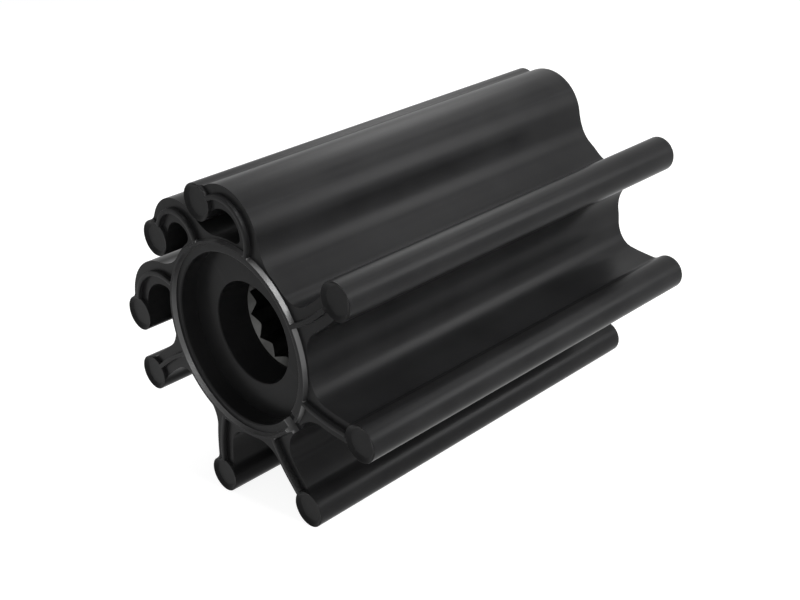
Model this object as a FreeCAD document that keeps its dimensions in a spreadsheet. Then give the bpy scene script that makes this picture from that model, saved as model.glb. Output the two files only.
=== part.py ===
import FreeCAD, Part
import math
import os

import Sketcher

# Flexible-vane pump impeller lying on two of its vanes. The shaft axis runs along Y, the end with
# the notch faces -Y, and the origin is on the axis at half length. Angles are seen from that end,
# counted from +X towards +Z. Lengths are in millimetres.

os.makedirs("parts", exist_ok=True)
doc = FreeCAD.newDocument("pump_impeller")

SIZES = (
    ("overall_length", 78.8, "end bead to end bead along the shaft"),
    ("bead_height", 0.75, "beads above the flat end faces"),
    ("bead_width", 0.8, "raised line along each vane"),
    ("hub_radius", 17.5, "bottom of the valleys between the vanes"),
    ("rim_bead_step", 0.5, "from the hub's surface in to the ring bead"),
    ("rim_bead_width", 0.9, "across the ring bead round the hub"),
    ("vane_count", 8, "vanes moulded round the hub"),
    ("curled_count", 3, "vanes folded over on the left and top"),
    ("vane_thickness", 4.1, "web of a vane"),
    ("root_angle", 18.8, "root of the first straight vane, from +X"),
    ("root_fillet", 3.5, "valley side of each vane root"),
    ("fold_fillet", 1.2, "root fillet inside a folded vane"),
    ("rod_radius", 3.13, "round rod at the tip of each vane"),
    ("rod_inset", 0.2, "rod ends behind the bead tops"),
    ("dish_depth", 0.5, "shallow dish in the rod ends"),
    ("dish_land", 0.06, "narrow edge left round the dish"),
    ("dish_slope", 0.67, "width of the sloping wall of the dish"),
    ("straight_reach_ratio", 1.68, "axis to rod, in hub radii"),
    ("straight_lead_angle", 3.7, "rod ahead of the root, in degrees"),
    ("straight_start_ratio", 1.006, "axis to the start of the slight bend, in hub radii"),
    ("straight_bend_ratio", 1.714, "radius of the slight bend, in hub radii"),
    ("first_reach_ratio", 1.314, "first folded vane, as above"),
    ("first_lead_angle", 33.1, ""),
    ("first_start_ratio", 1.006, ""),
    ("first_bend_ratio", 0.331, ""),
    ("second_reach_ratio", 1.303, "second folded vane, as above"),
    ("second_lead_angle", 29.6, ""),
    ("second_start_ratio", 1.034, ""),
    ("second_bend_ratio", 0.286, ""),
    ("third_reach_ratio", 1.571, "third folded vane, as above"),
    ("third_lead_angle", 26.2, ""),
    ("third_start_ratio", 1.006, ""),
    ("third_bend_ratio", 0.44, ""),
    ("well_wall", 2.8, "from the hub's surface in to the wall of the end well"),
    ("well_depth", 3.1, "well floor below the flat rim"),
    ("well_corner", 0.4, "broken corner between well wall and floor"),
    ("bore_radius", 8.77, "smooth bore in the rubber"),
    ("insert_cover", 5.9, "rubber between the well floor and the insert"),
    ("insert_wall", 2.83, "insert beyond the smooth bore, hidden in the rubber"),
    ("spline_crest", 7.45, "inner radius of the spline teeth"),
    ("spline_root", 8.3, "bottom of the spline grooves"),
    ("spline_count", 12, "grooves round the spline"),
    ("spline_land", 0.3, "flat left on each tooth"),
    ("spline_phase", 2.9, "one groove, from +X"),
    ("lead_in_radius", 8.45, "mouth of the lead-in cone"),
    ("notch_angle", -48.7, "notch across the rim, from +X"),
    ("notch_width", 3.2, "between the notch walls"),
    ("notch_depth", 1.8, "notch floor below the bead top"),
    ("cut_overrun", 1.0, "cuts run this far past the surface that they open"),
)

sheet = doc.addObject("Spreadsheet::Sheet", "Sizes")
for row, (alias, value, meaning) in enumerate(SIZES, start=1):
    sheet.set("A%d" % row, alias)
    sheet.set("B%d" % row, str(value))
    sheet.set("C%d" % row, meaning)
    sheet.setAlias("B%d" % row, alias)
doc.recompute()

HALF = "Sizes.overall_length / 2"
WEB_LENGTH = "Sizes.overall_length - 2 * Sizes.bead_height"
ROD_LENGTH = "Sizes.overall_length - 2 * Sizes.rod_inset"
INSERT_LENGTH = "%s - 2 * Sizes.well_depth - 2 * Sizes.insert_cover" % WEB_LENGTH
PITCH = "360 / Sizes.vane_count"
BEAD_OUTER = "Sizes.hub_radius - Sizes.rim_bead_step"
BEAD_INNER = BEAD_OUTER + " - Sizes.rim_bead_width"
BEAD_MIDDLE = BEAD_OUTER + " - Sizes.rim_bead_width / 2"
WELL_RADIUS = "(Sizes.hub_radius - Sizes.well_wall)"
INSERT_RADIUS = "(Sizes.bore_radius + Sizes.insert_wall)"
DISH_RIM = "(Sizes.rod_radius - Sizes.dish_land)"
DISH_FLOOR = "(Sizes.rod_radius - Sizes.dish_land - Sizes.dish_slope)"


def size(name):
    return float(sheet.get(name))


hub_radius = size("hub_radius")
bead_outer = hub_radius - size("rim_bead_step")
bead_inner = bead_outer - size("rim_bead_width")
well_radius = hub_radius - size("well_wall")
well_floor = size("overall_length") / 2 - size("bead_height") - size("well_depth")
insert_half = well_floor - size("insert_cover")
insert_radius = size("bore_radius") + size("insert_wall")
dish_rim = size("rod_radius") - size("dish_land")
dish_floor = dish_rim - size("dish_slope")


def new_body(label):
    body = doc.addObject("PartDesign::Body", label)
    body.Label = label
    return body


def origin_feature(body, role):
    return next(f for f in body.Origin.OriginFeatures if f.Role == role)


def new_sketch(body, name, plane="XZ_Plane", forward=None):
    """A sketch on one of the body's own planes, moved forward along its normal by a formula."""
    sketch = body.newObject("Sketcher::SketchObject", name)
    sketch.AttachmentSupport = [(origin_feature(body, plane), "")]
    sketch.MapMode = "FlatFace"
    if forward:
        sketch.setExpression("AttachmentOffset.Base.z", forward)
    return sketch


def bind(sketch, constraint, name, formula):
    """Add a constraint, name it and tie its value to a formula of the sheet."""
    index = sketch.addConstraint(constraint)
    sketch.renameConstraint(index, name)
    sketch.setExpression("Constraints." + name, formula)


def add_circle(sketch, name, radius_formula, radius):
    """A circle round the axis."""
    index = sketch.addGeometry(Part.Circle(FreeCAD.Vector(0, 0, 0), FreeCAD.Vector(0, 0, 1), radius))
    sketch.addConstraint(Sketcher.Constraint("Coincident", index, 3, -1, 1))
    bind(sketch, Sketcher.Constraint("Radius", index, radius), name, radius_formula)


def pad(body, sketch, name, length_formula):
    """Material on both sides of the middle plane."""
    feature = body.newObject("PartDesign::Pad", name)
    feature.Profile = sketch
    feature.SideType = "Symmetric"
    feature.setExpression("Length", length_formula)
    doc.recompute()
    return feature


def pocket(body, sketch, name, length_formula=None):
    """A cut into the part from the sketch's own end, or right through without a length."""
    feature = body.newObject("PartDesign::Pocket", name)
    feature.Profile = sketch
    if length_formula:
        feature.Type = "Length"
        feature.setExpression("Length", length_formula)
    else:
        feature.Type = "ThroughAll"
        feature.SideType = "Symmetric"
    doc.recompute()
    return feature


def turn(point, degrees):
    """A point of the front view, turned about the axis."""
    c = math.cos(math.radians(degrees))
    s = math.sin(math.radians(degrees))
    return FreeCAD.Vector(c * point.x - s * point.y, s * point.x + c * point.y, 0)


class Vane:
    """The middle line of one vane: a radial root, one bend and a straight tip ending in the rod."""

    def __init__(self, label, number, prefix):
        self.label = label
        self.root_formula = "(Sizes.root_angle + %d * %s)" % (number, PITCH)
        self.root = size("root_angle") + number * 360 / size("vane_count")
        self.start_formula = "Sizes.hub_radius * Sizes.%s_start_ratio" % prefix
        self.bend_formula = "Sizes.hub_radius * Sizes.%s_bend_ratio" % prefix
        self.reach_formula = "Sizes.hub_radius * Sizes.%s_reach_ratio" % prefix
        self.lead_formula = "Sizes.%s_lead_angle" % prefix
        self.start_length = hub_radius * size(prefix + "_start_ratio")
        self.bend = hub_radius * size(prefix + "_bend_ratio")
        self.reach = hub_radius * size(prefix + "_reach_ratio")
        self.lead = size(prefix + "_lead_angle")
        self.solve()

    def solve(self):
        """Where the bend starts and ends, so that the tip runs straight into the rod."""
        self.bend_centre = turn(FreeCAD.Vector(self.start_length, self.bend, 0), self.root)
        self.rod = turn(FreeCAD.Vector(self.reach, 0, 0), self.root + self.lead)
        to_rod = self.rod - self.bend_centre
        self.angle_in = math.radians(self.root - 90)
        spread = math.acos(self.bend / to_rod.Length)
        angle_out = math.atan2(to_rod.y, to_rod.x) - spread
        while angle_out < self.angle_in:
            angle_out += 2 * math.pi
        self.angle_out = angle_out

    def on_bend(self, radius, angle):
        return self.bend_centre + FreeCAD.Vector(radius * math.cos(angle), radius * math.sin(angle), 0)

    def rod_formulas(self):
        angle = "(%s + %s)" % (self.root_formula, self.lead_formula)
        return ("%s * cos(%s)" % (self.reach_formula, angle), "%s * sin(%s)" % (self.reach_formula, angle))


def add_line(sketch, start, end, construction=False):
    return sketch.addGeometry(Part.LineSegment(start, end), construction)


def add_bend(sketch, vane, radius, construction=False):
    circle = Part.Circle(vane.bend_centre, FreeCAD.Vector(0, 0, 1), radius)
    return sketch.addGeometry(Part.ArcOfCircle(circle, vane.angle_in, vane.angle_out), construction)


def strip_sketch(body, name, vane, width_name, gap_formula=None, gap=0.0):
    """A strip of even width along a vane's middle line, from the rim bead to the rod or short of it."""
    sketch = new_sketch(body, name)
    half = size(width_name) / 2
    bend_in = vane.on_bend(vane.bend, vane.angle_in)
    bend_out = vane.on_bend(vane.bend, vane.angle_out)
    root_line = add_line(sketch, FreeCAD.Vector(0, 0, 0), bend_in, True)
    middle_bend = add_bend(sketch, vane, vane.bend, True)
    tip_line = add_line(sketch, bend_out, vane.rod, True)
    sketch.addConstraint(Sketcher.Constraint("Coincident", root_line, 1, -1, 1))
    root_x = "%s * cos(%s)" % (vane.start_formula, vane.root_formula)
    root_z = "%s * sin(%s)" % (vane.start_formula, vane.root_formula)
    bind(sketch, Sketcher.Constraint("DistanceX", -1, 1, root_line, 2, bend_in.x), "bend_x", root_x)
    bind(sketch, Sketcher.Constraint("DistanceY", -1, 1, root_line, 2, bend_in.y), "bend_z", root_z)
    sketch.addConstraint(Sketcher.Constraint("Tangent", root_line, 2, middle_bend, 1))
    sketch.addConstraint(Sketcher.Constraint("Tangent", middle_bend, 2, tip_line, 1))
    bind(sketch, Sketcher.Constraint("Radius", middle_bend, vane.bend), "bend_radius", vane.bend_formula)
    rod_x, rod_z = vane.rod_formulas()
    bind(sketch, Sketcher.Constraint("DistanceX", -1, 1, tip_line, 2, vane.rod.x), "rod_x", rod_x)
    bind(sketch, Sketcher.Constraint("DistanceY", -1, 1, tip_line, 2, vane.rod.y), "rod_z", rod_z)

    root_dir = turn(FreeCAD.Vector(1, 0, 0), vane.root)
    inner_end = root_dir * ((bead_outer + bead_inner) / 2)
    tip_dir = (vane.rod - bend_out).normalize()
    sides = []
    for side, sign in (("outside", 1), ("inside", -1)):
        across_root = turn(FreeCAD.Vector(0, -sign * half, 0), vane.root)
        across_tip = (bend_out - vane.bend_centre).normalize() * (sign * half)
        radius = vane.bend + sign * half
        root_side = add_line(sketch, inner_end + across_root, vane.on_bend(radius, vane.angle_in))
        bend_side = add_bend(sketch, vane, radius)
        tip_side = add_line(sketch, vane.on_bend(radius, vane.angle_out),
                            vane.rod + across_tip - tip_dir * gap)
        sketch.addConstraint(Sketcher.Constraint("Coincident", bend_side, 3, middle_bend, 3))
        radius_formula = "%s + %d * Sizes.%s / 2" % (vane.bend_formula, sign, width_name)
        bind(sketch, Sketcher.Constraint("Radius", bend_side, radius), side + "_radius", radius_formula)
        sketch.addConstraint(Sketcher.Constraint("Tangent", root_side, 2, bend_side, 1))
        sketch.addConstraint(Sketcher.Constraint("Tangent", bend_side, 2, tip_side, 1))
        sketch.addConstraint(Sketcher.Constraint("Parallel", root_side, root_line))
        sketch.addConstraint(Sketcher.Constraint("Parallel", tip_side, tip_line))
        sides.append((root_side, tip_side, inner_end + across_root,
                      vane.rod + across_tip - tip_dir * gap))
    (root_a, tip_a, start_a, end_a), (root_b, tip_b, start_b, end_b) = sides
    root_end = add_line(sketch, start_b, start_a)
    tip_end = add_line(sketch, end_a, end_b)
    sketch.addConstraint(Sketcher.Constraint("Coincident", root_end, 1, root_b, 1))
    sketch.addConstraint(Sketcher.Constraint("Coincident", root_end, 2, root_a, 1))
    sketch.addConstraint(Sketcher.Constraint("Coincident", tip_end, 1, tip_a, 2))
    sketch.addConstraint(Sketcher.Constraint("Coincident", tip_end, 2, tip_b, 2))
    sketch.addConstraint(Sketcher.Constraint("Perpendicular", root_end, root_line))
    start = inner_end.Length
    bind(sketch, Sketcher.Constraint("Distance", -1, 1, root_end, start), "root_start", BEAD_MIDDLE)
    sketch.addConstraint(Sketcher.Constraint("Perpendicular", tip_end, tip_line))
    if gap_formula:
        bind(sketch, Sketcher.Constraint("Distance", tip_line, 2, tip_end, gap), "tip_gap", gap_formula)
    else:
        sketch.addConstraint(Sketcher.Constraint("PointOnObject", tip_line, 2, tip_end))
    return sketch


def polygon(sketch, points):
    """A closed outline of straight lines; returns the index of its first line."""
    first = sketch.GeometryCount
    for start, end in zip(points, points[1:] + points[:1]):
        add_line(sketch, FreeCAD.Vector(*start, 0), FreeCAD.Vector(*end, 0))
    for number in range(len(points)):
        after = (number + 1) % len(points)
        sketch.addConstraint(Sketcher.Constraint("Coincident", first + number, 2, first + after, 1))
    return first


def place_point(sketch, line, name, point, formulas):
    """Tie the start of a line to a place given by two formulas."""
    bind(sketch, Sketcher.Constraint("DistanceX", -1, 1, line, 1, point[0]), name + "_x", formulas[0])
    bind(sketch, Sketcher.Constraint("DistanceY", -1, 1, line, 1, point[1]), name + "_y", formulas[1])


def outline(sketch, points):
    """A closed outline whose corners are all tied to formulas of the sheet."""
    corners = [(p[0], p[1]) for p in points]
    first = polygon(sketch, corners)
    for number, (x, y, x_formula, y_formula) in enumerate(points):
        place_point(sketch, first + number, "corner%d" % number, (x, y), (x_formula, y_formula))


def turned(body, sketch, name, axis, kind="PartDesign::Revolution"):
    """A turned form about one of the sketch's own axes."""
    feature = body.newObject(kind, name)
    feature.Profile = sketch
    feature.ReferenceAxis = (sketch, [axis])
    feature.Angle = 360
    doc.recompute()
    return feature


def add_rod(body, vane):
    """The rod at a vane's tip, turned about its own middle, with a shallow dish in both ends."""
    rod_x, rod_z = vane.rod_formulas()
    sketch = new_sketch(body, vane.label + "_rod_outline", "XY_Plane", rod_z)
    sketch.setExpression("AttachmentOffset.Base.x", rod_x)
    end = "(%s) / 2" % ROD_LENGTH
    floor = "(%s - Sizes.dish_depth)" % end
    y_end = size("overall_length") / 2 - size("rod_inset")
    y_floor = y_end - size("dish_depth")
    half_outline = [
        (0.0, y_floor, "0", floor),
        (dish_floor, y_floor, DISH_FLOOR, floor),
        (dish_rim, y_end, DISH_RIM, end),
        (size("rod_radius"), y_end, "Sizes.rod_radius", end),
    ]
    points = [(r, -y, r_formula, "-" + y_formula) for r, y, r_formula, y_formula in half_outline]
    points += reversed(half_outline)
    outline(sketch, points)
    return turned(body, sketch, vane.label + "_rod", "V_Axis")


def add_vane(body, vane):
    """One vane: rod, web, and the raised line that shows on both ends."""
    rod = add_rod(body, vane)
    web_outline = strip_sketch(body, vane.label + "_web_outline", vane, "vane_thickness")
    web = pad(body, web_outline, vane.label + "_web", WEB_LENGTH)
    gap = size("rod_radius") - size("dish_land") / 2
    bead_outline = strip_sketch(body, vane.label + "_bead_outline", vane, "bead_width",
                                "Sizes.rod_radius - Sizes.dish_land / 2", gap)
    bead = pad(body, bead_outline, vane.label + "_bead", "Sizes.overall_length")
    return [rod, web, bead]


def long_edges(shape, test):
    """Names of the edges along the whole hub surface whose place in the front view passes a test."""
    names = []
    for number, edge in enumerate(shape.Edges, start=1):
        if not isinstance(edge.Curve, Part.Line) or abs(edge.tangentAt(edge.FirstParameter).y) < 0.999:
            continue
        middle = edge.valueAt((edge.FirstParameter + edge.LastParameter) / 2)
        place = FreeCAD.Vector(middle.x, middle.z, 0)
        on_hub = abs(place.Length - hub_radius) < 0.01
        if on_hub and edge.Length > insert_half and test(place):
            names.append("Edge%d" % number)
    return names


def fillet(body, base, name, edges, radius_formula):
    feature = body.newObject("PartDesign::Fillet", name)
    feature.Base = (base, edges)
    feature.setExpression("Radius", radius_formula)
    doc.recompute()
    return feature


# The rubber moulding: hub, vanes, rods and beads are one piece.
rubber = new_body("rubber_impeller")

hub_outline = new_sketch(rubber, "hub_outline")
add_circle(hub_outline, "hub", "Sizes.hub_radius", hub_radius)
pad(rubber, hub_outline, "hub", WEB_LENGTH)

rim_bead_outline = new_sketch(rubber, "rim_bead_outline")
add_circle(rim_bead_outline, "outer", BEAD_OUTER, bead_outer)
add_circle(rim_bead_outline, "inner", BEAD_INNER, bead_inner)
pad(rubber, rim_bead_outline, "rim_bead", "Sizes.overall_length")

straight = Vane("straight_vane", 0, "straight")
straight_features = add_vane(rubber, straight)
straight_vanes = rubber.newObject("PartDesign::PolarPattern", "straight_vanes")
straight_vanes.Originals = straight_features
straight_vanes.Axis = (origin_feature(rubber, "Y_Axis"), [""])
straight_vanes.Mode = "Spacing"
straight_vanes.setExpression("Offset", PITCH)
straight_vanes.setExpression("Occurrences", "Sizes.vane_count - Sizes.curled_count")
rubber.Tip = straight_vanes
doc.recompute()

curled = [Vane(prefix + "_curled_vane", number, prefix)
          for number, prefix in enumerate(("first", "second", "third"), start=1)]
for vane in curled:
    add_vane(rubber, vane)


def inside_fold(place):
    """Whether a root edge lies on the side to which a folded vane leans."""
    for vane in curled:
        local = turn(place, -vane.root)
        if local.x > 0 and 0 < local.y < size("vane_thickness"):
            return True
    return False


moulding = rubber.Tip
fold_edges = long_edges(moulding.Shape, inside_fold)
folds = fillet(rubber, moulding, "fold_roots", fold_edges, "Sizes.fold_fillet")
valley_edges = long_edges(folds.Shape, lambda place: not inside_fold(place))
fillet(rubber, folds, "valley_roots", valley_edges, "Sizes.root_fillet")

# A shallow well in both ends, the smooth bore, and the seat of the hub insert.
bore_outline = new_sketch(rubber, "bore_outline")
add_circle(bore_outline, "bore", "Sizes.bore_radius", size("bore_radius"))
pocket(rubber, bore_outline, "bore")

for end, sign in (("front", 1), ("rear", -1)):
    well_outline = new_sketch(rubber, end + "_well_outline", forward="%d * (%s) / 2" % (sign, WEB_LENGTH))
    add_circle(well_outline, "well", WELL_RADIUS, well_radius)
    well = pocket(rubber, well_outline, end + "_well", "Sizes.well_depth")
    well.Reversed = sign < 0
    doc.recompute()

well_corners = []
for number, edge in enumerate(well.Shape.Edges, start=1):
    if not isinstance(edge.Curve, Part.Circle) or abs(edge.Curve.Radius - well_radius) > 0.01:
        continue
    if abs(abs(edge.Curve.Center.y) - well_floor) < 0.01:
        well_corners.append("Edge%d" % number)
broken_corners = rubber.newObject("PartDesign::Chamfer", "broken_corners")
broken_corners.Base = (well, well_corners)
broken_corners.setExpression("Size", "Sizes.well_corner")
doc.recompute()

seat_outline = new_sketch(rubber, "insert_seat_outline", "XY_Plane")
overrun = size("cut_overrun")
seat_inside = size("bore_radius") - overrun
seat_points = []
for x, x_formula, sign in ((seat_inside, "Sizes.bore_radius - Sizes.cut_overrun", -1),
                           (insert_radius, INSERT_RADIUS, -1),
                           (insert_radius, INSERT_RADIUS, 1),
                           (seat_inside, "Sizes.bore_radius - Sizes.cut_overrun", 1)):
    seat_points.append((x, sign * insert_half, x_formula, "%d * (%s) / 2" % (sign, INSERT_LENGTH)))
outline(seat_outline, seat_points)
turned(rubber, seat_outline, "insert_seat", "V_Axis", "PartDesign::Groove")

# One square notch leads from the front well across the rim into the valley below it.
notch_outline = new_sketch(rubber, "notch_outline", forward=HALF)
across = size("notch_width") / 2
notch_points = []
inner_end = (well_radius - overrun, "(%s - Sizes.cut_overrun)" % WELL_RADIUS)
outer_end = (hub_radius + overrun, "(Sizes.hub_radius + Sizes.cut_overrun)")
for (along, along_formula), side in ((inner_end, -1), (outer_end, -1), (outer_end, 1), (inner_end, 1)):
    place = turn(FreeCAD.Vector(along, side * across, 0), size("notch_angle"))
    half_width = "%d * Sizes.notch_width / 2" % side
    notch_points.append((
        place.x,
        place.y,
        "%s * cos(Sizes.notch_angle) - %s * sin(Sizes.notch_angle)" % (along_formula, half_width),
        "%s * sin(Sizes.notch_angle) + %s * cos(Sizes.notch_angle)" % (along_formula, half_width),
    ))
outline(notch_outline, notch_points)
pocket(rubber, notch_outline, "notch", "Sizes.notch_depth")

# The metal insert: a plain sleeve with the spline through it and a lead-in cone at both ends.
insert = new_body("hub_insert")
sleeve_outline = new_sketch(insert, "sleeve_outline")
add_circle(sleeve_outline, "outside", INSERT_RADIUS, insert_radius)
pad(insert, sleeve_outline, "sleeve", INSERT_LENGTH)
crest_outline = new_sketch(insert, "crest_outline")
add_circle(crest_outline, "crest", "Sizes.spline_crest", size("spline_crest"))
pocket(insert, crest_outline, "crest_bore")

groove_outline = new_sketch(insert, "spline_groove_outline")
edge_angle = 180 / size("spline_count") - math.degrees(size("spline_land") / 2 / size("spline_crest"))
EDGE_ANGLE = "(180 / Sizes.spline_count - 90 / pi * Sizes.spline_land / Sizes.spline_crest)"
groove_points = []
for radius_name, turn_by, turn_formula in (("spline_crest", -edge_angle, "- " + EDGE_ANGLE),
                                           ("spline_root", 0.0, ""),
                                           ("spline_crest", edge_angle, "+ " + EDGE_ANGLE)):
    place = turn(FreeCAD.Vector(size(radius_name), 0, 0), size("spline_phase") + turn_by)
    angle_formula = "(Sizes.spline_phase %s)" % turn_formula
    groove_points.append((
        place.x,
        place.y,
        "Sizes.%s * cos(%s)" % (radius_name, angle_formula),
        "Sizes.%s * sin(%s)" % (radius_name, angle_formula),
    ))
outline(groove_outline, groove_points)
groove = pocket(insert, groove_outline, "spline_groove")
spline = insert.newObject("PartDesign::PolarPattern", "spline")
spline.Originals = [groove]
spline.Axis = (origin_feature(insert, "Y_Axis"), [""])
spline.Angle = 360
spline.setExpression("Occurrences", "Sizes.spline_count")
insert.Tip = spline
doc.recompute()

lead_in_outline = new_sketch(insert, "lead_in_outline", "XY_Plane")
mouth = size("lead_in_radius")
MOUTH = "Sizes.lead_in_radius"
for sign in (-1, 1):
    end_formula = "%d * (%s) / 2" % (sign, INSERT_LENGTH)
    tip_formula = "%d * ((%s) / 2 - %s)" % (sign, INSERT_LENGTH, MOUTH)
    corners = [
        (0.0, sign * insert_half, "0", end_formula),
        (mouth, sign * insert_half, MOUTH, end_formula),
        (0.0, sign * (insert_half - mouth), "0", tip_formula),
    ]
    first = polygon(lead_in_outline, [(c[0], c[1]) for c in corners])
    for number, (x, y, x_formula, y_formula) in enumerate(corners):
        name = "%s%d" % ("front" if sign < 0 else "rear", number)
        place_point(lead_in_outline, first + number, name, (x, y), (x_formula, y_formula))
turned(insert, lead_in_outline, "lead_in", "V_Axis", "PartDesign::Groove")

doc.recompute()
for item in doc.Objects:
    if "Invalid" in item.State or "Error" in item.State:
        raise RuntimeError("%s did not build: %s" % (item.Name, item.State))
for body in (rubber, insert):
    shape = body.Shape
    if shape.isNull() or not shape.isValid() or len(shape.Solids) != 1:
        raise RuntimeError("%s is not one valid solid" % body.Label)
    shape.exportStep("parts/%s.step" % body.Label)
    box = shape.BoundBox
    print(body.Label, "volume %.1f mm3, box %.2f x %.2f x %.2f mm, z %.2f to %.2f"
          % (shape.Volume, box.XLength, box.YLength, box.ZLength, box.ZMin, box.ZMax))
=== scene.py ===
import math

import bpy
import numpy as np
from mathutils import Matrix, Vector
from mathutils.geometry import delaunay_2d_cdt


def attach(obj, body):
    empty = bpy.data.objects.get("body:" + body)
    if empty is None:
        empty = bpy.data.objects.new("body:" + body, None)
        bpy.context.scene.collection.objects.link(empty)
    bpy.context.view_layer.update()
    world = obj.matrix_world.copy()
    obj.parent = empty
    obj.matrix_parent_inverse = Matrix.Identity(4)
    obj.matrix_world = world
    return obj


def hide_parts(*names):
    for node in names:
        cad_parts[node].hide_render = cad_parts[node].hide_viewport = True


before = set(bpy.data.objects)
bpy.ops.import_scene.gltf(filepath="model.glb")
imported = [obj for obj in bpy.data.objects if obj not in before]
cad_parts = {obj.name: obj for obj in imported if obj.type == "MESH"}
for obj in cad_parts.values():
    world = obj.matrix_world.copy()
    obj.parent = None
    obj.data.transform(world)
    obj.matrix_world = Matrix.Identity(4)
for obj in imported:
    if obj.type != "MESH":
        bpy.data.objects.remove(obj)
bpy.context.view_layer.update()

# A flexible-vane pump impeller. The shaft axis is Y and the notched end faces -Y. Shapes are worked
# out in millimetres in the front view (x to the right, z up) and written to the meshes in metres.

MM = 0.001

# heights above the middle of the impeller
HALF = 39.4           # bead tops
ROD = 39.2            # rod ends
WEB = 38.65           # flat end faces of hub and vanes
NOTCH_FLOOR = 37.6
WELL_FLOOR = 35.55
INSERT_END = 29.65

# radii
HUB = 17.5            # bottom of the valleys between the vanes
RIM_OUT = 17.0        # ring bead round the hub
RIM_IN = 16.1
RIM_MIDDLE = (RIM_IN + RIM_OUT) / 2
WELL = 14.7
SEAT = 11.6           # of the insert in the rubber
BORE = 8.77
ROD_RADIUS = 3.13
DISH_RIM = 3.07       # shallow dish in the rod ends
DISH_FLOOR = 2.4
DISH_DEPTH = 0.5

# widths and angles in the front view
VANE_ROOT = 4.35      # thickness of a vane at the hub
VANE_TIP = 3.85       # and at its rod
VANE_START = 14       # radius that lengths along a vane are counted from
BEAD = 0.8            # raised line along a vane
NOTCH_ANGLE = -48.7
NOTCH_WIDTH = 3.2
ROOT_FILLET = 3.5     # valley side of a vane root
FOLD_FILLET = 1.2     # inside of a folded vane
ROD_FILLET = 0.5

# roundings and sloping walls of the end faces
EDGE = 0.25           # outer edge of hub and vanes
ROD_EDGE = 0.05
STRIP_EDGE = 0.07     # tops of the vane beads
LIP_EDGE = 0.3        # round the well
BORE_EDGE = 0.25
WELL_CORNER = 0.04    # between well wall and floor
WELL_LEAN = 0.02      # of the well wall from lip to floor
ROD_WALL = 15         # drop of a rod's wall for each millimetre outwards
STRIP_WALL = 14       # the same for a vane bead
STRIP_INTO_ROD = 0.08
RIM_FOOT = 0.04       # ring bead: foot and top beyond and within its middle height
RIM_TOP = 0.22
NOTCH_FOOT = 0.45     # notch: foot and top within and beyond its width
NOTCH_TOP = 0.15

# fineness of the rubber's mesh
STEP = 0.22           # point spacing along outlines
RIM_OUT_POINTS = 260
RIM_IN_POINTS = 250
LIP_POINTS = 240
CORNER_POINTS = 220
BORE_POINTS = 144
ROD_POINTS = 96
NOTCH_POINTS = 24
SPANS = 6             # of an outer wall between the end faces

FLOOR = -30.3         # just under the lowest rods

# root angle, start of the bend, bend radius, rod distance, rod lead angle, inner root fillet
STRAIGHT = (17.6, 30.0, 29.4, 3.7, ROOT_FILLET)
VANES = [
    (63.8, 17.6, 5.8, 23.0, 33.1, FOLD_FILLET),
    (108.8, 18.1, 5.0, 22.8, 29.6, FOLD_FILLET),
    (153.8, 17.6, 7.7, 27.5, 26.2, FOLD_FILLET),
] + [(18.8 - 45 * k,) + STRAIGHT for k in range(5)]


# The outline of the rubber

def turned(x, z, degrees):
    c = math.cos(math.radians(degrees))
    s = math.sin(math.radians(degrees))
    return c * x - s * z, s * x + c * z


def rounded(a, b, radius):
    """Union of two distance fields with a fillet between them."""
    u = np.maximum(radius - a, 0)
    v = np.maximum(radius - b, 0)
    return np.maximum(radius, np.minimum(a, b)) - np.hypot(u, v)


class Vane:
    """A radial root, a bend and a straight tip into the rod, kept with the root along x."""

    def __init__(self, root, start, bend, reach, lead, inner_fillet):
        self.root = root
        self.start = start
        self.bend = bend
        self.inner_fillet = inner_fillet
        self.rod = turned(reach, 0, lead)
        dx = self.rod[0] - start
        dz = self.rod[1] - bend
        # the tip leaves the bend along its tangent through the rod's centre
        out = math.atan2(dz, dx) - math.acos(bend / math.hypot(dx, dz))
        while out < -math.pi / 2:
            out += 2 * math.pi
        self.out = out
        self.tangent = (start + bend * math.cos(out), bend + bend * math.sin(out))
        self.tip_length = math.hypot(self.rod[0] - self.tangent[0], self.rod[1] - self.tangent[1])
        self.length = start - VANE_START + bend * (out + math.pi / 2) + self.tip_length

    def local(self, x, z):
        return turned(x, z, -self.root)

    def rod_centre(self):
        return turned(self.rod[0], self.rod[1], self.root)

    def line(self, x, z, sweep=None):
        """Distance from the middle line and the length along it; sweep cuts the bend short."""
        lx, lz = self.local(x, z)
        along = np.clip(lx, 0, self.start)
        d = np.hypot(lx - along, lz)
        s = along - VANE_START
        # the bend
        angle = np.arctan2(lz - self.bend, lx - self.start)
        angle = np.where(angle < -math.pi / 2 - 0.5, angle + 2 * math.pi, angle)
        last = self.out if sweep is None else min(self.out, -math.pi / 2 + sweep)
        a = np.clip(angle, -math.pi / 2, last)
        bx = lx - self.start - self.bend * np.cos(a)
        bz = lz - self.bend - self.bend * np.sin(a)
        d2 = np.hypot(bx, bz)
        s = np.where(d2 < d, self.start - VANE_START + self.bend * (a + math.pi / 2), s)
        d = np.minimum(d, d2)
        if sweep is None:
            # the tip
            tx = (self.rod[0] - self.tangent[0]) / self.tip_length
            tz = (self.rod[1] - self.tangent[1]) / self.tip_length
            t = (lx - self.tangent[0]) * tx + (lz - self.tangent[1]) * tz
            t = np.clip(t, 0, self.tip_length)
            d3 = np.hypot(lx - self.tangent[0] - t * tx, lz - self.tangent[1] - t * tz)
            s = np.where(d3 < d, self.length - self.tip_length + t, s)
            d = np.minimum(d, d3)
        return d, s

    def web(self, x, z, sweep=None):
        """Signed distance from the sides of the vane."""
        d, s = self.line(x, z, sweep)
        part = np.clip(s / self.length, 0, 1)
        return d - (VANE_ROOT + (VANE_TIP - VANE_ROOT) * part) / 2

    def rod_distance(self, x, z):
        cx, cz = self.rod_centre()
        return np.hypot(x - cx, z - cz) - ROD_RADIUS


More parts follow.
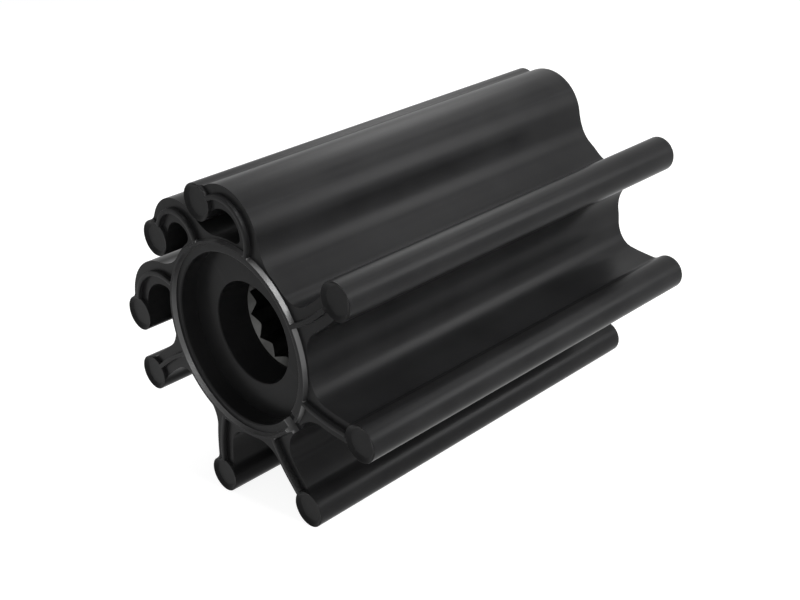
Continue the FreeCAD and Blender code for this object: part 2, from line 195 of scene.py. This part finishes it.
vanes = [Vane(*v) for v in VANES]


def section(x, z):
    """Signed distance from the outline of the rubber, negative inside."""
    hub = np.hypot(x, z) - HUB
    result = hub
    for vane in vanes:
        rod = vane.rod_distance(x, z)
        result = np.minimum(result, rounded(vane.web(x, z), rod, ROD_FILLET))
        # the root fillets see only the first radian of the bend
        fillet = np.where(vane.local(x, z)[1] > 0, vane.inner_fillet, ROOT_FILLET)
        result = np.minimum(result, rounded(hub, vane.web(x, z, sweep=1.0), fillet))
    return result


def strips(x, z):
    """Signed distance from the outline of the vane beads, from the ring bead into the rods."""
    r = np.hypot(x, z)
    result = np.full_like(r, np.inf)
    for vane in vanes:
        strip = np.maximum(vane.line(x, z)[0] - BEAD / 2, RIM_MIDDLE - r)
        result = np.minimum(result, np.maximum(strip, -STRIP_INTO_ROD - vane.rod_distance(x, z)))
    return result


# The end faces

def edge_drop(inset, radius):
    """How far a rounded edge has dropped at a distance inside it."""
    d = np.clip(radius - inset, 0, radius)
    return radius - np.sqrt(radius * radius - d * d)


def with_rods(x, z, h):
    """The height with the rod ends and their dishes, and the places inside the rods."""
    inside = np.zeros_like(x, bool)
    for vane in vanes:
        inset = -vane.rod_distance(x, z)
        top = ROD - edge_drop(np.maximum(inset, 0), ROD_EDGE)
        dish = (inset - ROD_RADIUS + DISH_RIM) / (DISH_RIM - DISH_FLOOR)
        top -= np.clip(dish, 0, 1) * DISH_DEPTH
        top -= np.maximum(-inset, 0) * ROD_WALL
        # within its edge the rod end alone counts, however deep its dish is
        others = np.where(inset > ROD_EDGE, -np.inf, h)
        h = np.where(inset > -0.04, np.maximum(top, others), h)
        inside |= inset > 0.1
    return h, inside


def with_well(r, h):
    """The height with the well, its corner, its floor and the mouth of the bore."""
    lip = r - WELL
    h = np.where(lip < LIP_EDGE, h - edge_drop(np.maximum(lip, 0), LIP_EDGE), h)
    wall_low = WELL_FLOOR + WELL_CORNER
    rise = np.clip((lip + WELL_LEAN) / WELL_LEAN, 0, 1)
    h = np.where(lip < 0, wall_low + (WEB - LIP_EDGE - wall_low) * rise, h)
    inner = np.clip(r - (WELL - WELL_LEAN - WELL_CORNER), 0, WELL_CORNER)
    floor = WELL_FLOOR + WELL_CORNER - np.sqrt(WELL_CORNER ** 2 - inner ** 2)
    h = np.where(lip < -WELL_LEAN, floor, h)
    mouth = WELL_FLOOR - edge_drop(np.maximum(r - BORE, 0), BORE_EDGE)
    return np.where(r < BORE + BORE_EDGE, mouth, h)


def end_height(x, z, notched):
    """Height of the end face above the middle of the impeller."""
    r = np.hypot(x, z)
    h = WEB - edge_drop(np.maximum(-section(x, z), 0), EDGE)
    h, in_rod = with_rods(x, z, h)
    g = (RIM_OUT - RIM_IN) / 2 + RIM_FOOT - np.abs(r - RIM_MIDDLE)
    h = np.maximum(h, WEB + np.clip(g / (RIM_FOOT + RIM_TOP), 0, 1) * (HALF - WEB))
    g = -strips(x, z)
    ridge = HALF - edge_drop(np.maximum(g, 0), STRIP_EDGE) - np.maximum(-g, 0) * STRIP_WALL
    h = np.where(in_rod | (g < -0.06), h, np.maximum(h, ridge))
    h = with_well(r, h)
    if notched:
        along, across = turned(x, z, -NOTCH_ANGLE)
        v = np.abs(across) - NOTCH_WIDTH / 2
        rise = np.clip((v + NOTCH_FOOT) / (NOTCH_FOOT + NOTCH_TOP), 0, 1)
        cut = NOTCH_FLOOR + rise * (HALF - NOTCH_FLOOR)
        h = np.where((along > WELL - 0.05) & (v < NOTCH_TOP), np.minimum(h, cut), h)
    return h


# Lines that the end faces are cut along

def snap(points, field, level):
    """Move points onto a level line of a field, by four steps of 0.1 mm at most."""
    e = 1e-4
    for _ in range(4):
        x, z = points[:, 0], points[:, 1]
        f = field(x, z) - level
        gx = (field(x + e, z) - field(x - e, z)) / (2 * e)
        gz = (field(x, z + e) - field(x, z - e)) / (2 * e)
        g2 = np.maximum(gx * gx + gz * gz, 0.25)
        points = points - np.clip(f / g2, -0.1, 0.1)[:, None] * np.stack([gx, gz], 1)
    return points


def even(loop, step):
    """The closed loop again, with points a step apart."""
    closed = np.vstack([loop, loop[:1]])
    length = np.r_[0, np.cumsum(np.hypot(*np.diff(closed, axis=0).T))]
    count = max(12, int(round(length[-1] / step)))
    at = np.linspace(0, length[-1], count, endpoint=False)
    return np.stack([np.interp(at, length, closed[:, k]) for k in (0, 1)], 1)


def level_lines(field, level, cell=0.25, reach=33.5):
    """Closed level lines of a field, evenly spaced, by marching through a grid of cells."""
    axis = np.arange(-reach, reach + cell, cell)
    gx, gz = np.meshgrid(axis, axis, indexing="ij")
    f = field(gx, gz) - level
    inside = f < 0
    links = {}
    crossing = {}

    def cut(i, j, k, m):
        key = (i, j, k, m)
        if key not in crossing:
            t = f[i, j] / (f[i, j] - f[k, m])
            crossing[key] = (axis[i] + t * (axis[k] - axis[i]), axis[j] + t * (axis[m] - axis[j]))
        return key

    mixed = inside[:-1, :-1].astype(int) + inside[1:, :-1] + inside[:-1, 1:] + inside[1:, 1:]
    for i, j in zip(*np.nonzero((mixed > 0) & (mixed < 4))):
        around = ((i, j, i + 1, j), (i + 1, j, i + 1, j + 1),
                  (i, j + 1, i + 1, j + 1), (i, j, i, j + 1))
        sides = [cut(*side) for side in around if inside[side[:2]] != inside[side[2:]]]
        pairs = ((0, 1),)
        if len(sides) == 4:
            x, z = np.array([axis[i] + cell / 2]), np.array([axis[j] + cell / 2])
            middle = field(x, z)[0] - level < 0
            pairs = ((0, 1), (2, 3)) if middle == inside[i, j] else ((0, 3), (1, 2))
        for p, q in pairs:
            links.setdefault(sides[p], []).append(sides[q])
            links.setdefault(sides[q], []).append(sides[p])
    loops = []
    unused = set(links)
    while unused:
        here = unused.pop()
        loop = [here]
        while True:
            onward = [n for n in links[here] if n in unused]
            if not onward:
                break
            here = onward[0]
            unused.discard(here)
            loop.append(here)
        if len(loop) > 12:      # a shorter one is a speck
            loops.append(snap(np.array([crossing[key] for key in loop]), field, level))
    return [snap(even(loop, STEP), field, level) for loop in loops]


def ring(radius, count, centre=(0.0, 0.0)):
    a = np.arange(count) * 2 * math.pi / count
    return np.stack([centre[0] + radius * np.cos(a), centre[1] + radius * np.sin(a)], 1)


def end_loops(outline):
    """Closed lines: the outline, the edge roundings, the beads, the well and the bore."""
    loops = [outline]
    for inset in (0.02, 0.07, 0.14, EDGE):
        loops += level_lines(section, -inset)
    for inset in (-0.05, 0.0, 0.025, STRIP_EDGE):
        loops += level_lines(strips, -inset)
    for inset in (-RIM_FOOT, 0.09, RIM_TOP):
        loops.append(ring(RIM_OUT - inset, RIM_OUT_POINTS))
        loops.append(ring(RIM_IN + inset, RIM_IN_POINTS))
    for beyond in (LIP_EDGE, 0.19, 0.09, 0.02, 0, -WELL_LEAN):
        loops.append(ring(WELL + beyond, LIP_POINTS))
    for part in (0.4, 1.0):
        loops.append(ring(WELL - WELL_LEAN - WELL_CORNER * part, CORNER_POINTS))
    for beyond in (BORE_EDGE, 0.15, 0.06, 0):
        loops.append(ring(BORE + beyond, BORE_POINTS))
    for vane in vanes:
        for radius in (DISH_RIM, 2.74, DISH_FLOOR):
            loops.append(ring(radius, ROD_POINTS, vane.rod_centre()))
    return loops


def rod_arcs():
    """Open lines along each rod's wall where it stands within its vane."""
    arcs = []
    for vane in vanes:
        for radius in (ROD_RADIUS + 0.04, ROD_RADIUS, ROD_RADIUS - 0.02):
            circle = ring(radius, ROD_POINTS, vane.rod_centre())
            keep = section(circle[:, 0], circle[:, 1]) < -0.32
            if keep.any():
                start = 0 if keep.all() else int(np.argmin(keep))
                arcs.append(np.roll(circle, -start, axis=0)[np.roll(keep, -start)])
    return arcs


def notch_lines():
    """Open lines along the foot, the wall and the top of both sides of the notch."""
    lines = []
    along = np.linspace(WELL, HUB + 1.2, NOTCH_POINTS)
    for beyond in (NOTCH_TOP, 0.02, -0.13, -0.25, -NOTCH_FOOT):
        for across in (-NOTCH_WIDTH / 2 - beyond, NOTCH_WIDTH / 2 + beyond):
            lines.append(np.array([turned(a, across, NOTCH_ANGLE) for a in along]))
    return lines


# The rubber's mesh

def within(points, loop):
    """Whether points lie inside a closed loop."""
    x1, z1 = loop[:, 0], loop[:, 1]
    x2, z2 = np.roll(x1, -1), np.roll(z1, -1)
    result = np.zeros(len(points), bool)
    batch = 2000
    for k in range(0, len(points), batch):
        x = points[k:k + batch, 0][:, None]
        z = points[k:k + batch, 1][:, None]
        spans = (z1 > z) != (z2 > z)
        with np.errstate(divide="ignore", invalid="ignore"):
            at = x1 + (z - z1) * (x2 - x1) / (z2 - z1)
        result[k:k + batch] = (spans & (x < at)).sum(1) % 2 == 1
    return result


def triangulated(outline):
    """Points and triangles of an end face, in the front view."""
    flat = []
    edges = []
    paths = [(loop, True) for loop in end_loops(outline)]
    paths += [(line, False) for line in rod_arcs() + notch_lines()]
    for path, closed in paths:
        first = len(flat)
        flat += [Vector(p) for p in path]
        edges += [(first + k, first + k + 1) for k in range(len(path) - 1)]
        if closed:
            edges.append((first + len(path) - 1, first))
    points, _, triangles, _, _, _ = delaunay_2d_cdt(flat, edges, [], 0, 1e-5)
    points = np.array([tuple(p) for p in points])
    triangles = np.array(triangles)
    middles = points[triangles].mean(1)
    in_bore = np.hypot(*middles.T) <= BORE * math.cos(math.pi / BORE_POINTS)
    triangles = triangles[within(middles, outline) & ~in_bore]
    u = points[triangles[:, 1]] - points[triangles[:, 0]]
    v = points[triangles[:, 2]] - points[triangles[:, 0]]
    area = u[:, 0] * v[:, 1] - u[:, 1] * v[:, 0]
    keep = np.abs(area) > 1e-9
    triangles, area = triangles[keep], area[keep]
    triangles[area < 0] = triangles[area < 0][:, ::-1]
    used, triangles = np.unique(triangles, return_inverse=True)
    return points[used], triangles.reshape(-1, 3)


def moulding(points, triangles):
    """Vertices and faces: both end faces, the outer walls and the seat of the insert."""
    x, z = points[:, 0], points[:, 1]
    front = -end_height(x, z, True)
    rear = end_height(x, z, False)
    count = len(points)
    vertices = [np.stack([x, front, z], 1), np.stack([x, rear, z], 1)]
    faces = [tuple(t) for t in triangles] + [tuple(t[::-1] + count) for t in triangles]
    directed = dict.fromkeys(e for a, b, c in triangles for e in ((a, b), (b, c), (c, a)))
    total = 2 * count
    seat_chains = {}
    wall_chains = {}
    for a, b in directed:
        if (b, a) in directed:
            continue
        at_bore = np.hypot(*points[a]) < BORE + 0.1 and np.hypot(*points[b]) < BORE + 0.1
        chains = seat_chains if at_bore else wall_chains
        for n in (a, b):
            if n in chains:
                continue
            px, pz = points[n]
            if at_bore:
                k = SEAT / np.hypot(px, pz)
                chain = [(px, -INSERT_END, pz), (px * k, -INSERT_END, pz * k),
                         (px * k, INSERT_END, pz * k), (px, INSERT_END, pz)]
            else:
                ys = front[n] + (rear[n] - front[n]) * np.arange(1, SPANS) / SPANS
                chain = [(px, y, pz) for y in ys]
            vertices.append(np.array(chain))
            chains[n] = [n, *range(total, total + len(chain)), n + count]
            total += len(chain)
        for k in range(len(chains[a]) - 1):
            faces.append((chains[b][k], chains[a][k], chains[a][k + 1], chains[b][k + 1]))
    return np.vstack(vertices) * MM, [tuple(int(i) for i in f) for f in faces]


def make_mesh(name, vertices, faces, material, sharp):
    mesh = bpy.data.meshes.new(name)
    mesh.from_pydata([tuple(v) for v in vertices], [], faces)
    mesh.validate()
    mesh.polygons.foreach_set("use_smooth", [True] * len(mesh.polygons))
    mesh.set_sharp_from_angle(angle=math.radians(sharp))
    mesh.materials.append(material)
    obj = bpy.data.objects.new(name, mesh)
    bpy.context.scene.collection.objects.link(obj)
    even_out = obj.modifiers.new("normals", "WEIGHTED_NORMAL")
    even_out.keep_sharp = True
    return obj


def gloss_walls(mesh, material):
    """The walls of the ring bead and the notch are glossier than the rest."""
    mesh.materials.append(material)
    count = len(mesh.polygons)
    centre = np.empty(count * 3)
    normal = np.empty(count * 3)
    mesh.polygons.foreach_get("center", centre)
    mesh.polygons.foreach_get("normal", normal)
    x, y, z = centre.reshape(-1, 3).T / MM
    level = np.abs(normal.reshape(-1, 3)[:, 1])
    radius = np.hypot(x, z)
    on_ring = (radius > RIM_IN - RIM_FOOT) & (radius < RIM_OUT + RIM_FOOT)
    walls = on_ring & (np.abs(y) > WEB + 0.02) & (level < 0.9)
    along, across = turned(x, z, -NOTCH_ANGLE)
    in_notch = (along > WELL) & (np.abs(across) < NOTCH_WIDTH / 2 + NOTCH_TOP)
    walls |= in_notch & (y < -NOTCH_FLOOR - 0.01) & (level < 0.97)
    mesh.polygons.foreach_set("material_index", walls.astype(np.int32))


# Materials

def node(tree, kind, **inputs):
    made = tree.nodes.new(kind)
    for key, value in inputs.items():
        made.inputs[key.replace("_", " ")].default_value = value
    return made


def noise(tree, coordinates, scale, detail, stretch=(1, 1, 1)):
    mapping = node(tree, "ShaderNodeMapping", Scale=stretch)
    tree.links.new(coordinates, mapping.inputs["Vector"])
    made = node(tree, "ShaderNodeTexNoise", Scale=scale, Detail=detail, Roughness=0.55)
    tree.links.new(mapping.outputs["Vector"], made.inputs["Vector"])
    return made.outputs["Fac"]


def spread(tree, value, low, high, out_low, out_high):
    made = node(tree, "ShaderNodeMapRange", From_Min=low, From_Max=high,
                To_Min=out_low, To_Max=out_high)
    tree.links.new(value, made.inputs["Value"])
    return made.outputs["Result"]


def mix(tree, factor, a, b):
    made = tree.nodes.new("ShaderNodeMix")
    made.data_type = "RGBA"
    tree.links.new(factor, made.inputs["Factor"])
    for socket, value in ((made.inputs[6], a), (made.inputs[7], b)):
        if isinstance(value, bpy.types.NodeSocket):
            tree.links.new(value, socket)
        else:
            socket.default_value = (*value, 1)
    return made.outputs[2]


def bumps(tree, heights, shader):
    """Chain of bumps: (height, strength, distance in metres)."""
    last = None
    for height, strength, distance in heights:
        made = node(tree, "ShaderNodeBump", Strength=strength, Distance=distance)
        tree.links.new(height, made.inputs["Height"])
        if last:
            tree.links.new(last, made.inputs["Normal"])
        last = made.outputs["Normal"]
    tree.links.new(last, shader.inputs["Normal"])


def new_material(name):
    material = bpy.data.materials.new(name)
    material.use_nodes = True
    tree = material.node_tree
    tree.nodes.clear()
    out = tree.nodes.new("ShaderNodeOutputMaterial")
    shader = tree.nodes.new("ShaderNodeBsdfPrincipled")
    tree.links.new(shader.outputs["BSDF"], out.inputs["Surface"])
    return material, tree, shader


def place_on(tree):
    return tree.nodes.new("ShaderNodeTexCoord").outputs["Object"]


def rubber_material(name, rough, ior, level):
    """Patchy black with fine dust, worn edges and faint streaks along the impeller."""
    black, patch = (0.0085, 0.0085, 0.0088), (0.0115, 0.0115, 0.0118)
    dust, wear = (0.026, 0.026, 0.027), (0.022, 0.022, 0.023)
    material, tree, shader = new_material(name)
    place = place_on(tree)
    blotch = noise(tree, place, 90, 2)
    grain = noise(tree, place, 2600, 3)
    streak = noise(tree, place, 420, 3, stretch=(1, 0.03, 1))
    colour = mix(tree, spread(tree, blotch, 0.35, 0.65, 0, 1), black, patch)
    colour = mix(tree, spread(tree, grain, 0.62, 0.8, 0, 0.35), colour, dust)
    edges = tree.nodes.new("ShaderNodeNewGeometry").outputs["Pointiness"]
    colour = mix(tree, spread(tree, edges, 0.53, 0.62, 0, 0.25), colour, wear)
    tree.links.new(colour, shader.inputs["Base Color"])
    uneven = spread(tree, blotch, 0.3, 0.7, rough - 0.02, rough + 0.02)
    tree.links.new(uneven, shader.inputs["Roughness"])
    shader.inputs["IOR"].default_value = ior
    shader.inputs["Specular IOR Level"].default_value = level
    bumps(tree, ((streak, 0.06, 0.0001), (blotch, 0.05, 0.0003), (grain, 0.08, 0.00004)), shader)
    return material


def insert_material():
    """Dark, dull steel with fine marks along the spline."""
    dark, pale = (0.045, 0.045, 0.044), (0.07, 0.07, 0.068)
    material, tree, shader = new_material("insert metal")
    place = place_on(tree)
    blotch = noise(tree, place, 260, 4)
    marks = noise(tree, place, 1500, 2, stretch=(1, 0.1, 1))
    colour = mix(tree, spread(tree, blotch, 0.35, 0.65, 0, 1), dark, pale)
    tree.links.new(colour, shader.inputs["Base Color"])
    shader.inputs["Metallic"].default_value = 1.0
    tree.links.new(spread(tree, marks, 0.3, 0.7, 0.30, 0.46), shader.inputs["Roughness"])
    bumps(tree, ((marks, 0.06, 0.00006), (blotch, 0.04, 0.0001)), shader)
    return material


# The rubber moulding

outline = max(level_lines(section, 0.0), key=len)
vertices, faces = moulding(*triangulated(outline))
rubber_look = rubber_material("black rubber", rough=0.30, ior=1.4, level=0.078)
bead_look = rubber_material("glossy rubber of the ring bead", rough=0.31, ior=1.5, level=1.0)
rubber = make_mesh("rubber_moulding", vertices, faces, rubber_look, sharp=38)
gloss_walls(rubber.data, bead_look)
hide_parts("rubber_impeller")
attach(rubber, "root")

# The metal insert

TEETH = 12
CREST = 7.45          # inner radius of the teeth
GROOVE = 8.3          # bottom of the grooves
MOUTH = 8.45          # of the 45 degree lead-in cone
CONE_TOP = MOUTH - 0.06
PHASE = 2.9           # one groove, from +X
LAND = 0.3            # flat left on each tooth
PITCH = 360 / TEETH
TOOTH_EDGE = PITCH / 2 - math.degrees(LAND / 2 / CREST)     # from the middle of a groove


def spline_radius(angle):
    """Radius of the spline at an angle in degrees: straight flanks from groove to tooth."""
    a = abs((angle - PHASE + PITCH / 2) % PITCH - PITCH / 2)
    if a > TOOTH_EDGE:
        return CREST
    end = math.radians(TOOTH_EDGE)
    t = math.radians(a)
    slope = CREST * math.sin(end) / (CREST * math.cos(end) - GROOVE)
    return slope * GROOVE / (slope * math.cos(t) - math.sin(t))


def cone_y(radius):
    """Height of the insert's end at a radius, lower inside the lead-in cone."""
    return INSERT_END - max(0.0, MOUTH - radius)


def insert_rows(angles):
    """Points from the outer edge of one end into the spline, as (radius, height) rows."""
    rows = [[(SEAT, INSERT_END - 0.02)] * len(angles)]
    for radius in (SEAT - 0.1, MOUTH + 0.06, MOUTH, CONE_TOP):
        rows.append([(radius, cone_y(radius))] * len(angles))
    inner = [spline_radius(a) for a in angles]
    for part in (0.5, 0.94, 1.0):
        radii = [CONE_TOP + (i - CONE_TOP) * part for i in inner]
        rows.append([(radius, cone_y(radius)) for radius in radii])
    rows.append([(i, cone_y(i) - 0.08) for i in inner])
    return rows


# angles from the middle of a groove to the middle of the next tooth, then the same mirrored
marks = [0, 1.2, 3.5, 6.5, 9.5, 12.0, TOOTH_EDGE - 0.5, TOOTH_EDGE, PITCH / 2]
one = sorted({round(m, 4) for m in marks} | {round(PITCH - m, 4) for m in marks[1:-1]})
angles = [PHASE + k * PITCH + m for k in range(TEETH) for m in one]
ends = insert_rows(angles)
rows = [(row, -1) for row in ends] + [(row, 1) for row in ends[::-1]]
vertices = []
for row, side in rows:
    for (radius, y), a in zip(row, angles):
        t = math.radians(a)
        vertices.append((radius * math.cos(t) * MM, side * y * MM, radius * math.sin(t) * MM))
width = len(angles)
faces = []
for r in range(len(rows)):
    below = (r + 1) % len(rows)
    for k in range(width):
        after = (k + 1) % width
        faces.append((r * width + k, below * width + k, below * width + after, r * width + after))
insert = make_mesh("splined_insert", vertices, faces, insert_material(), sharp=32)
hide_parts("hub_insert")
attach(insert, "root")


# Floor, light and camera

def backdrop_rays(tree):
    """1 for what the camera sees itself, in gloss or through glass."""
    path = tree.nodes.new("ShaderNodeLightPath")
    result = path.outputs["Is Camera Ray"]
    for name in ("Is Glossy Ray", "Is Transmission Ray"):
        either = node(tree, "ShaderNodeMath")
        either.operation = "MAXIMUM"
        tree.links.new(result, either.inputs[0])
        tree.links.new(path.outputs[name], either.inputs[1])
        result = either.outputs["Value"]
    return result


def floor_material():
    """White to the camera, with the object's shadow, and a plain pale floor to other light."""
    material, tree, shader = new_material("floor")
    shader.inputs["Roughness"].default_value = 0.9
    shader.inputs["Specular IOR Level"].default_value = 0.0
    shader.inputs["Emission Color"].default_value = (1, 1, 1, 1)
    seen = backdrop_rays(tree)
    colour = mix(tree, seen, (0.9, 0.9, 0.9), (0.3, 0.3, 0.3))
    tree.links.new(colour, shader.inputs["Base Color"])
    glow = node(tree, "ShaderNodeMath")
    glow.operation = "MULTIPLY"
    tree.links.new(seen, glow.inputs[0])
    glow.inputs[1].default_value = 0.89
    tree.links.new(glow.outputs["Value"], shader.inputs["Emission Strength"])
    return material


def softbox(name, direction, distance, size, power):
    """A square lamp facing the impeller; lengths in metres, power in watts."""
    light = bpy.data.lights.new(name, "AREA")
    light.shape = "RECTANGLE"
    light.size = size
    light.size_y = size
    light.energy = power
    lamp = bpy.data.objects.new(name, light)
    bpy.context.scene.collection.objects.link(lamp)
    toward = Vector(direction).normalized()
    lamp.location = toward * distance
    lamp.rotation_euler = toward.to_track_quat("Z", "Y").to_euler()


bpy.ops.mesh.primitive_plane_add(size=6, location=(0, 0, FLOOR * MM))
floor = bpy.context.object
floor.name = "floor"
floor.data.materials.append(floor_material())

# the camera's place in millimetres and its axes
CAMERA = (159.165, -143.081, 71.327)
right = Vector((0.69154, 0.70804, -0.14299))
up = Vector((-0.15426, 0.33815, 0.92836))
back = Vector((0.70567, -0.61994, 0.34306))


def mirrored(angle, lean=0.0):
    """Where the camera's ray goes from a wall that faces an angle and leans to the front."""
    a = math.radians(angle)
    facing = Vector((math.cos(a) * math.cos(lean), -math.sin(lean), math.sin(a) * math.cos(lean)))
    return 2 * facing.dot(back) * facing - back


# an arc of lamps behind the impeller, for the streaks along the vanes
ARC = ((22, 0.8), (30, 0.66), (42, 0.36), (54, 0.36), (64, 0.30), (72, 0.31), (80, 0.13))
for angle, power in ARC:
    softbox("arc %d" % angle, mirrored(angle), distance=0.6, size=0.14, power=power)
softbox("far right", (0.85, 0.5, 0.2), distance=0.6, size=0.26, power=0.38)
# a second arc at the side, for the sloping wall of the ring bead
slant = math.atan((RIM_FOOT + RIM_TOP) / (HALF - WEB))
SIDE_ARC = ((17, 0.3), (29, 1.5), (42, 1.3), (56, 0.3))
for angle, power in SIDE_ARC:
    softbox("bead %d" % angle, mirrored(angle, slant), distance=0.6, size=0.15, power=power)
softbox("front", (0.70, -0.60, 0.40), distance=1.2, size=0.60, power=2.8)

# the world is white to the camera and a weak fill for the object
world = bpy.data.worlds.new("studio")
bpy.context.scene.world = world
world.use_nodes = True
tree = world.node_tree
tree.nodes.clear()
out = tree.nodes.new("ShaderNodeOutputWorld")
seen = node(tree, "ShaderNodeBackground", Color=(1, 1, 1, 1), Strength=1.0)
lit = node(tree, "ShaderNodeBackground", Color=(1, 1, 1, 1), Strength=0.32)
choose = tree.nodes.new("ShaderNodeMixShader")
tree.links.new(backdrop_rays(tree), choose.inputs["Fac"])
tree.links.new(lit.outputs[0], choose.inputs[1])
tree.links.new(seen.outputs[0], choose.inputs[2])
tree.links.new(choose.outputs[0], out.inputs["Surface"])

camera_data = bpy.data.cameras.new("camera")
camera = bpy.data.objects.new("camera", camera_data)
bpy.context.scene.collection.objects.link(camera)
camera_data.lens = 57.0
camera_data.sensor_width = 36.0
camera_data.clip_start = 0.01
camera_data.clip_end = 20
turn = Matrix((right, up, back)).transposed()
camera.matrix_world = Matrix.Translation(Vector(CAMERA) * MM) @ turn.to_4x4()
bpy.context.scene.camera = camera
bpy.context.scene.view_settings.view_transform = "Standard"
